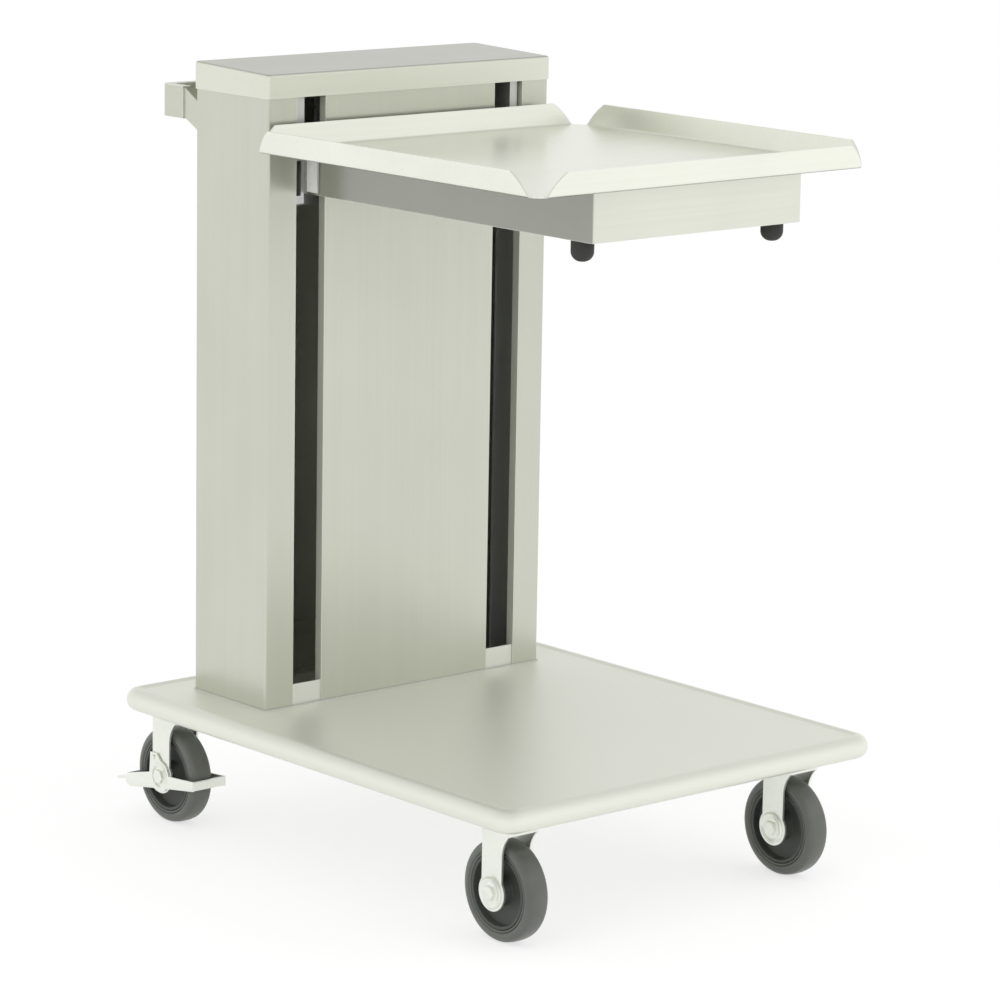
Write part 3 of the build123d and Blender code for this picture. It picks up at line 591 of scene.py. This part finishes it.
class DISPENSER_OT_sheet_metal(Operator):
    """Finishes the deck, tower, platform and handle in satin sheet"""

    bl_idname = "dispenser.sheet_metal"
    bl_label = "Sheet metal"

    def execute(self, context):
        look = context.scene.dispenser_sheet
        steel = look.steel_colour
        rough = look.sheet_roughness
        tower = satin_sheet("satin_sheet_tower", UPRIGHT, steel, rough, look, returns=RETURN_ROUGHNESS)
        # Painted shade on the cap's top, the platform's underside and the carrier's sides and underside
        cap = satin_sheet("satin_sheet_cap", CROSSWISE, look.cap_colour, rough, look, painted_shade=((UP, CAP_TOP_SHADE),))
        handle = satin_sheet("satin_sheet_handle", CROSSWISE, steel, rough, look)
        tray = satin_sheet(
            "satin_sheet_tray", CROSSWISE, look.deck_colour, rough, look, painted_shade=((DOWN, TRAY_UNDERSIDE_SHADE),)
        )
        carrier = satin_sheet(
            "satin_sheet_carrier",
            CROSSWISE,
            look.carrier_colour,
            rough - CARRIER_SMOOTHER,
            look,
            painted_shade=((LEFT, CARRIER_SIDES_SHADE), (RIGHT, CARRIER_SIDES_SHADE), (DOWN, CARRIER_UNDERSIDE_SHADE)),
        )
        deck = satin_sheet(
            "polished_deck",
            LENGTHWISE,
            look.deck_colour,
            look.deck_roughness,
            look,
            marked=DECK_MARKED,
            mirrors=look.deck_share,
        )
        # The slot closures take the edge colour, a lighter copy of the steel that stands in for light on these
        # set-back plates
        closure = satin_sheet("pale_closure", UPRIGHT, look.painted_light_colour, CLOSURE_ROUGHNESS, look)
        dress(tower, "tower_shell", "centre_panel", "rear_access_panel")
        dress(closure, "slot_closure_left", "slot_closure_right")
        dress(cap, "tower_cap")
        dress(handle, "push_handle", "handle_bracket_left", "handle_bracket_right")
        dress(tray, "tray_platform")
        dress(carrier, "carrier_frame", "carrier_brace")
        dress(deck, "base_deck")
        return {"FINISHED"}


class DISPENSER_OT_hardware(Operator):
    """Finishes the zinc plated and galvanised parts"""

    bl_idname = "dispenser.hardware"
    bl_label = "Plated hardware"

    def execute(self, context):
        look = context.scene.dispenser_sheet
        for name, (marks, colour, roughness) in PLATED.items():
            satin_sheet(name, (marks, marks, marks), colour, roughness, look)
        zinc = bpy.data.materials["zinc_plate"]
        for name in nodes:
            if name.startswith(("caster_fork", "caster_mount", "caster_axle", "brake_lever")):
                dress(zinc, name)
        dress(zinc, "stem_nuts", "hanger_pins", "anchor_pins", "panel_screws", "arm_bolts", "roller_axles")
        dress(
            bpy.data.materials["galvanised_sheet"],
            "front_caster_channel",
            "rear_caster_channel",
            "guide_rail_left",
            "guide_rail_right",
            "spring_hanger",
            "carriage_plate_left",
            "carriage_plate_right",
            "carriage_upper_crossbar",
            "carriage_lower_crossbar",
            *(f"lift_spring_{number}" for number in SPRINGS),
        )
        return {"FINISHED"}


class DISPENSER_OT_rubber(Operator):
    """Finishes the wheels, bumpers, stops and rollers"""

    bl_idname = "dispenser.rubber"
    bl_label = "Rubber and plastic"

    def execute(self, context):
        look = context.scene.dispenser_rubber
        tyre = moulded("tread_rubber", look.tyre_colour, 0.34, 900.0)
        hub = moulded("wheel_moulding", look.hub_colour, 0.5, 700.0)
        rubber = moulded("bumper_rubber", look.bumper_colour, 0.6, 1200.0)
        nylon = moulded("natural_nylon", look.nylon_colour, 0.45, 500.0)
        moulded("pale_pad", look.pad_colour, 0.38, 400.0)
        moulded("greased_race", look.race_colour, 0.3, 300.0)
        for caster in CASTERS:
            dress(tyre, f"wheel_tyre_{caster}")
            dress(hub, f"wheel_hub_{caster}")
        dress(rubber, "bumpers", "stop_pads")
        for level in ("upper", "lower"):
            for side in ("left", "right"):
                dress(nylon, f"roller_{level}_{side}")
        return {"FINISHED"}


def only(piece):
    """Selects one piece and nothing else."""
    bpy.ops.object.select_all(action="DESELECT")
    piece.select_set(True)
    bpy.context.view_layer.objects.active = piece


@contextmanager
def editing(piece):
    """One piece in edit mode with all of it selected, and back in object mode at the end."""
    only(piece)
    bpy.ops.object.mode_set(mode="EDIT")
    bpy.ops.mesh.select_all(action="SELECT")
    yield
    bpy.ops.object.mode_set(mode="OBJECT")


def copy_of(node, name):
    """A merged copy of a CAD node's mesh, as its own object."""
    piece = bpy.data.objects.new(name, nodes[node].data.copy())
    bpy.context.scene.collection.objects.link(piece)
    piece.data.materials.clear()
    with editing(piece):
        bpy.ops.mesh.remove_doubles(threshold=MERGE_DISTANCE)
        bpy.ops.mesh.dissolve_limited(angle_limit=math.radians(FLAT_ANGLE))
    return piece


def pick_faces(piece, chosen):
    """Selects the faces for which chosen is true, ready for edit mode."""
    only(piece)
    bpy.ops.object.mode_set(mode="EDIT")
    bpy.ops.mesh.select_mode(type="FACE")
    bpy.ops.mesh.select_all(action="DESELECT")
    bpy.ops.object.mode_set(mode="OBJECT")
    for polygon in piece.data.polygons:
        polygon.select = chosen(polygon)


def soften(piece, width):
    """Rounds the sharp edges and shades the rest smooth."""
    sharp = math.radians(35.0)
    only(piece)
    bevel = piece.modifiers.new("rounded_edges", "BEVEL")
    bevel.width = width
    bevel.segments = 2
    bevel.limit_method = "ANGLE"
    bevel.angle_limit = sharp
    bpy.ops.object.modifier_apply(modifier=bevel.name)
    bpy.ops.object.shade_smooth_by_angle(angle=sharp)


def settle(piece):
    """Puts the place, turn and size of a finished piece into its mesh."""
    only(piece)
    bpy.ops.object.transform_apply(location=True, rotation=True, scale=True)


def join(piece, *others):
    """Joins other pieces to the first."""
    only(piece)
    for other in others:
        other.select_set(True)
    bpy.ops.object.join()


def repeat(piece, name, move):
    """A copy of a settled piece with its own mesh, moved along."""
    twin = piece.copy()
    twin.data = piece.data.copy()
    twin.name = name
    bpy.context.scene.collection.objects.link(twin)
    twin.location = move
    settle(twin)
    return twin


def turned(name, outline, middle, steps):
    """A ring turned about a line along X from an outline of (across, radius) points."""
    bpy.ops.object.select_all(action="DESELECT")
    bpy.ops.mesh.primitive_circle_add(vertices=len(outline), radius=0.01, location=(0.0, 0.0, 0.0))
    piece = bpy.context.object
    piece.name = name
    for vertex, (across, radius) in zip(piece.data.vertices, outline):
        vertex.co = Vector((middle[0] + across, middle[1], middle[2] + radius))
    with editing(piece):
        bpy.ops.mesh.spin(steps=steps, angle=2.0 * math.pi, center=middle, axis=RIGHT)
        bpy.ops.mesh.select_all(action="SELECT")
        bpy.ops.mesh.remove_doubles(threshold=MERGE_DISTANCE)
        bpy.ops.mesh.normals_make_consistent(inside=False)
    bpy.ops.object.shade_smooth_by_angle(angle=math.radians(40.0))
    return piece


def finish_piece(piece, material, body, replaced=()):
    """Gives a piece its finish and its body, and hides the nodes that it stands for."""
    piece.data.materials.clear()
    piece.data.materials.append(material)
    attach(piece, body)
    if replaced:
        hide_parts(*replaced)


class DISPENSER_OT_casters(Operator):
    """Models the casters' rounded tyres, cup washers and race rings"""

    bl_idname = "dispenser.casters"
    bl_label = "Casters"

    def execute(self, context):
        sizes = context.scene.dispenser_caster
        zinc = bpy.data.materials["zinc_plate"]
        tread = bpy.data.materials["tread_rubber"]
        low, high = (Vector(corner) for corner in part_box("wheel_tyre_front_left"))
        first = (low + high) / 2
        tyre = turned("tyre_front_left", self.tyre_outline(low, high, sizes), first, sizes.tyre_steps)
        washer = turned("cup_washer_front_left", self.washer_outline(sizes), first, WASHER_STEPS)
        for caster in CASTERS:
            low, high = (Vector(corner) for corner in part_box(f"wheel_tyre_{caster}"))
            move = (low + high) / 2 - first
            ring = tyre if caster == CASTERS[0] else repeat(tyre, f"tyre_{caster}", move)
            cup = washer if caster == CASTERS[0] else repeat(washer, f"cup_washer_{caster}", move)
            finish_piece(ring, tread, f"wheel_{caster}", [f"wheel_tyre_{caster}"])
            finish_piece(cup, zinc, f"fork_{caster}")
            self.race_seal(caster, sizes)
        return {"FINISHED"}

    def race_seal(self, caster, sizes):
        """The dark greased gap between the two races, as a thin ring set back in it."""
        low, high = (Vector(corner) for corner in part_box(f"caster_mount_{caster}"))
        bpy.ops.object.select_all(action="DESELECT")
        bpy.ops.mesh.primitive_torus_add(
            location=((low.x + high.x) / 2, (low.y + high.y) / 2, sizes.race_height),
            major_segments=48,
            minor_segments=10,
            major_radius=sizes.race_radius,
            minor_radius=RACE_RING_RADIUS,
        )
        ring = bpy.context.object
        ring.name = f"race_seal_{caster}"
        settle(ring)
        bpy.ops.object.shade_smooth()
        finish_piece(ring, bpy.data.materials["greased_race"], f"fork_{caster}")

    def tyre_outline(self, low, high, sizes):
        """The tyre's section: a bore, two beads and a tread that rounds over at its shoulders."""
        half = (high.x - low.x) / 2
        outer = (high.z - low.z) / 2
        shoulder = sizes.tyre_shoulder
        right = [(half - inward, TYRE_BORE + outward) for inward, outward in TYRE_BEAD]
        for step in range(SHOULDER_STEPS + 1):
            turn = math.radians(90.0 / SHOULDER_STEPS * step)
            right.append(
                (
                    half - shoulder * SHOULDER_DEPTH * (1.0 - math.cos(turn)),
                    outer - TREAD_CROWN - shoulder * (1.0 - math.sin(turn)),
                )
            )
        right.append((half * CROWN_HALF, outer))
        left = [(-across, radius) for across, radius in reversed(right)]
        return right + left

    def washer_outline(self, sizes):
        """A dished washer with a raised rim, against the outside of the left fork leg."""
        face = FORK_LEG_FACE
        edge = sizes.washer_radius
        return [
            (face, 0.0062),
            (face - 0.0022, 0.0066),
            (face - 0.0026, 0.0095),
            (face - 0.0012, 0.0125),
            (face - 0.0014, edge - 0.005),
            (face - 0.0034, edge - 0.0028),
            (face - 0.0036, edge - 0.0012),
            (face - 0.0022, edge),
            (face, edge),
        ]


class DISPENSER_OT_rounded_hardware(Operator):
    """Rounds the edges of the pressed, turned and headed parts"""

    bl_idname = "dispenser.rounded_hardware"
    bl_label = "Rounded hardware"

    def execute(self, context):
        bodies = {node: body for body, held in frame["record"]["behaviour"]["bodies"].items() for node in held}
        for node, piece in list(nodes.items()):
            for start, width in EDGE_WIDTHS.items():
                if node.startswith(start):
                    material = piece.material_slots[0].material
                    rounded = copy_of(node, f"rounded_{node}")
                    soften(rounded, width)
                    finish_piece(rounded, material, bodies[node], [node])
        return {"FINISHED"}


class DISPENSER_OT_springs(Operator):
    """Winds the four lift springs, with an eye at each end"""

    bl_idname = "dispenser.springs"
    bl_label = "Lift springs"

    def execute(self, context):
        sizes = context.scene.dispenser_spring
        wire = bpy.data.materials["drawn_wire"]
        low, high = (Vector(corner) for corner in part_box("lift_spring_1"))
        middle = (low + high) / 2
        coil = self.wind(middle, sizes)
        upper = self.bend_eye(middle, HANGER_PIN, COIL_TOP, sizes)
        lower = self.bend_eye(middle, ANCHOR_PIN, COIL_FOOT, sizes)
        join(coil, upper, lower)
        coil.name = "coiled_spring_1"
        with editing(coil):
            bpy.ops.mesh.normals_make_consistent(inside=False)
        bpy.ops.object.shade_smooth_by_angle(angle=math.radians(60.0))
        settle(coil)
        for number in SPRINGS:
            low, high = (Vector(corner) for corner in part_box(f"lift_spring_{number}"))
            here = (low + high) / 2
            move = Vector((here.x - middle.x, here.y - middle.y, 0.0))
            spring = coil if number == 1 else repeat(coil, f"coiled_spring_{number}", move)
            spring.data.materials.clear()
            spring.data.materials.append(wire)
            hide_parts(f"lift_spring_{number}")
            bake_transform(spring)
        return {"FINISHED"}

    def wind(self, middle, sizes):
        """The coils, as a round wire carried up a screw."""
        bpy.ops.object.select_all(action="DESELECT")
        bpy.ops.mesh.primitive_circle_add(
            vertices=8,
            radius=sizes.wire_radius,
            location=(sizes.coil_radius, 0.0, 0.0),
            rotation=(math.pi / 2, 0.0, 0.0),
        )
        coil = bpy.context.object
        settle(coil)
        turns = coil.modifiers.new("coils", "SCREW")
        turns.axis = "Z"
        turns.angle = 2.0 * math.pi
        turns.iterations = sizes.coil_count
        turns.screw_offset = (COIL_TOP - COIL_FOOT) / sizes.coil_count
        turns.steps = COIL_STEPS
        turns.render_steps = COIL_STEPS
        bpy.ops.object.modifier_apply(modifier=turns.name)
        coil.location = (middle.x, middle.y, COIL_FOOT)
        settle(coil)
        return coil

    def bend_eye(self, middle, pin, end, sizes):
        """The round eye between the end of the coils and a pin."""
        bpy.ops.mesh.primitive_torus_add(
            location=(middle.x, middle.y, (pin + end) / 2),
            rotation=(math.pi / 2, 0.0, 0.0),
            major_segments=24,
            minor_segments=8,
            major_radius=abs(pin - end) / 2 + EYE_REACH,
            minor_radius=sizes.wire_radius,
        )
        return bpy.context.object


class DISPENSER_OT_arm_pads(Operator):
    """Adds the pale pads on the outsides of the two arms, in front of the tower"""

    bl_idname = "dispenser.arm_pads"
    bl_label = "Arm pads"

    def execute(self, context):
        sizes = context.scene.dispenser_spring
        pale = bpy.data.materials["pale_pad"]
        for side, word in ((-1.0, "left"), (1.0, "right")):
            bpy.ops.object.select_all(action="DESELECT")
            bpy.ops.mesh.primitive_cube_add(size=1.0, location=(side * PAD_SIDE, PAD_FORWARD, PAD_UP))
            pad = context.object
            pad.name = f"arm_pad_{word}"
            pad.scale = (PAD_THICKNESS, sizes.pad_width, sizes.pad_height)
            settle(pad)
            pick_faces(pad, self.is_outer_face)
            bpy.ops.object.mode_set(mode="EDIT")
            bpy.ops.mesh.inset(thickness=PAD_RIM, depth=PAD_RIM_DEPTH)
            bpy.ops.object.mode_set(mode="OBJECT")
            soften(pad, PAD_ROUNDING)
            for step in (-SCREW_APART, SCREW_APART):
                join(pad, self.screw(side, step))
            finish_piece(pad, pale, "carriage")
        return {"FINISHED"}

    def is_outer_face(self, face):
        """Whether a pad's face is the one that looks away from its arm."""
        return abs(face.normal.x) > 0.9 and abs(face.center.x) > PAD_SIDE + 0.0005

    def screw(self, side, step):
        """One rounded screw head on a pad, above or below its middle."""
        bpy.ops.object.select_all(action="DESELECT")
        bpy.ops.mesh.primitive_cylinder_add(
            vertices=20,
            radius=SCREW_RADIUS,
            depth=SCREW_HEIGHT,
            location=(side * SCREW_SIDE, PAD_FORWARD, PAD_UP + step),
            rotation=(0.0, math.pi / 2, 0.0),
        )
        head = bpy.context.object
        settle(head)
        soften(head, SCREW_ROUNDING)
        return head


class DISPENSER_OT_foot_weld(Operator):
    """Runs a fine weld bead round the foot of the tower"""

    bl_idname = "dispenser.foot_weld"
    bl_label = "Foot weld"

    def execute(self, context):
        steel = bpy.data.materials["weld_bead"]
        low, high = (Vector(corner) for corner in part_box("tower_shell"))
        bpy.ops.object.select_all(action="DESELECT")
        bpy.ops.mesh.primitive_plane_add(size=1.0, location=((low.x + high.x) / 2, (low.y + high.y) / 2, WELD_HEIGHT))
        bead = context.object
        bead.name = "tower_foot_weld"
        bead.scale = (high.x - low.x + WELD_STAND_OFF, high.y - low.y + WELD_STAND_OFF, 1.0)
        settle(bead)
        with editing(bead):
            bpy.ops.mesh.bevel(offset=WELD_CORNER, segments=3, affect="VERTICES")
            bpy.ops.mesh.delete(type="ONLY_FACE")
        bpy.ops.object.convert(target="CURVE")
        bead.data.bevel_depth = WELD_RADIUS
        bead.data.bevel_resolution = 2
        bpy.ops.object.convert(target="MESH")
        with editing(bead):
            bpy.ops.mesh.subdivide(number_cuts=3)
            bpy.ops.mesh.normals_make_consistent(inside=False)
        bpy.ops.object.shade_smooth()
        finish_piece(bead, steel, "base")
        return {"FINISHED"}


def aim_camera(studio):
    """The photograph's camera: turned, raised and rolled about a target on the object."""
    turn = math.radians(-studio.azimuth)
    lift = math.radians(studio.elevation)
    tilt = math.radians(studio.roll)
    back = Vector(
        (-math.sin(turn) * math.cos(lift), -math.cos(turn) * math.cos(lift), math.sin(lift))
    )
    right = Vector((math.cos(turn), -math.sin(turn), 0.0))
    up = back.cross(right)
    right_rolled = right * math.cos(tilt) + up * math.sin(tilt)
    up_rolled = up * math.cos(tilt) - right * math.sin(tilt)
    target = right * studio.target_side + Vector((0.0, 0.0, studio.target_height))
    place = target + back * studio.distance
    camera = bpy.data.objects.new("studio_camera", bpy.data.cameras.new("studio_camera"))
    bpy.context.scene.collection.objects.link(camera)
    camera.matrix_world = Matrix(
        (
            (right_rolled.x, up_rolled.x, back.x, place.x),
            (right_rolled.y, up_rolled.y, back.y, place.y),
            (right_rolled.z, up_rolled.z, back.z, place.z),
            (0.0, 0.0, 0.0, 1.0),
        )
    )
    camera.data.sensor_width = SENSOR_WIDTH
    camera.data.lens = studio.lens
    camera.data.clip_end = VIEW_REACH
    return camera


def soft_box(name, place, size, power):
    """An area lamp turned towards the object, out of sight of the camera and of reflections."""
    lamp = bpy.data.lights.new(name, "AREA")
    lamp.shape = "RECTANGLE"
    lamp.size, lamp.size_y = size
    lamp.energy = power
    holder = bpy.data.objects.new(name, lamp)
    bpy.context.scene.collection.objects.link(holder)
    holder.location = place
    holder.rotation_euler = (Vector(LAMP_AIM) - Vector(place)).to_track_quat("-Z", "Y").to_euler()
    holder.visible_camera = False
    holder.visible_glossy = False


def seen_rays(tree):
    """1 for what the camera, gloss and glass look at, 0 for light on its way to matt surfaces."""
    path = add_node(tree, "ShaderNodeLightPath")
    seen = maths(tree, "MAXIMUM", path.outputs["Is Camera Ray"], path.outputs["Is Glossy Ray"])
    return maths(tree, "MAXIMUM", seen, path.outputs["Is Transmission Ray"])


def floor_material():
    """White paper with the object's soft shadow, the same for the camera, gloss and glass."""
    material, tree, shader, place = new_material("studio_paper", Roughness=0.9, Specular_IOR_Level=0.1)
    fibres = noise(tree, place, 40.0, 4.0)
    tone = ranged(tree, fibres.outputs["Fac"], 0.0, 1.0, *PAPER_TONES)
    seen = seen_rays(tree)
    paper = ranged(tree, seen, 0.0, 1.0, 1.0, PAPER_IN_VIEW, kind="SMOOTHSTEP")
    tree.links.new(maths(tree, "MULTIPLY", tone, paper), shader.inputs["Base Color"])
    shader.inputs["Emission Color"].default_value = WHITE
    tree.links.new(maths(tree, "MULTIPLY", seen, PAPER_GLOW), shader.inputs["Emission Strength"])
    return material


def studio_world(level):
    """Even light for surfaces, and for what is seen a dome that is white low down and softer above."""
    world = bpy.data.worlds.new("studio_surroundings")
    bpy.context.scene.world = world
    world.use_nodes = True
    tree = world.node_tree
    tree.nodes.clear()
    way = add_node(tree, "ShaderNodeTexCoord")
    parts = add_node(tree, "ShaderNodeSeparateXYZ", {"Vector": way.outputs["Generated"]})
    dome = ranged(
        tree, parts.outputs["Z"], DOME_WHITE_BELOW, DOME_SOFT_ABOVE, 1.0, DOME_TOP_LEVEL, kind="SMOOTHSTEP"
    )
    even = add_node(tree, "ShaderNodeBackground", {"Color": WHITE, "Strength": level})
    white = add_node(tree, "ShaderNodeBackground", {"Color": WHITE, "Strength": dome})
    both = add_node(
        tree,
        "ShaderNodeMixShader",
        {0: seen_rays(tree), 1: even.outputs["Background"], 2: white.outputs["Background"]},
    )
    output = add_node(tree, "ShaderNodeOutputWorld")
    tree.links.new(both.outputs[0], output.inputs["Surface"])


class DISPENSER_OT_studio(Operator):
    """Sets the floor, the surroundings, the lamps and the camera"""

    bl_idname = "dispenser.studio"
    bl_label = "Studio"

    def execute(self, context):
        studio = context.scene.dispenser_studio
        bpy.ops.object.select_all(action="DESELECT")
        bpy.ops.mesh.primitive_plane_add(size=FLOOR_SIZE, location=(0.0, 0.0, 0.0))
        floor = context.object
        floor.name = "studio_floor"
        floor.data.materials.append(floor_material())
        soft_box("key_lamp", KEY_PLACE, KEY_SIZE, studio.key_power)
        soft_box("fill_lamp", FILL_PLACE, FILL_SIZE, studio.fill_power)
        studio_world(studio.sky_level)
        context.scene.camera = aim_camera(studio)
        context.scene.view_settings.view_transform = "Standard"
        return {"FINISHED"}


class DISPENSER_PT_sidebar(Panel):
    """Lists the dispenser's settings and steps"""

    bl_idname = "DISPENSER_PT_sidebar"
    bl_label = "Tray dispenser"
    bl_space_type = "VIEW_3D"
    bl_region_type = "UI"
    bl_category = "Dispenser"

    def draw(self, context):
        layout = self.layout
        for setting in SETTINGS:
            holder = getattr(context.scene, setting)
            box = layout.box()
            for name in holder.__annotations__:
                box.prop(holder, name)
        for step in STEPS:
            layout.operator(step.bl_idname)


STEPS = (
    DISPENSER_OT_shared_effects,
    DISPENSER_OT_sheet_metal,
    DISPENSER_OT_hardware,
    DISPENSER_OT_rubber,
    DISPENSER_OT_casters,
    DISPENSER_OT_rounded_hardware,
    DISPENSER_OT_springs,
    DISPENSER_OT_arm_pads,
    DISPENSER_OT_foot_weld,
    DISPENSER_OT_studio,
)
SETTINGS = {
    "dispenser_sheet": SheetMetalLook,
    "dispenser_rubber": RubberLook,
    "dispenser_caster": CasterSizes,
    "dispenser_spring": SpringSizes,
    "dispenser_studio": StudioSetup,
}


def register():
    for cls in (*SETTINGS.values(), *STEPS, DISPENSER_PT_sidebar):
        bpy.utils.register_class(cls)
    for name, cls in SETTINGS.items():
        setattr(bpy.types.Scene, name, PointerProperty(type=cls))


def unregister():
    for name in SETTINGS:
        delattr(bpy.types.Scene, name)
    for cls in (DISPENSER_PT_sidebar, *reversed(STEPS), *reversed(SETTINGS.values())):
        bpy.utils.unregister_class(cls)


def main():
    register()
    for step in STEPS:
        category, name = step.bl_idname.split(".")
        getattr(getattr(bpy.ops, category), name)()


if __name__ == "__main__":
    main()
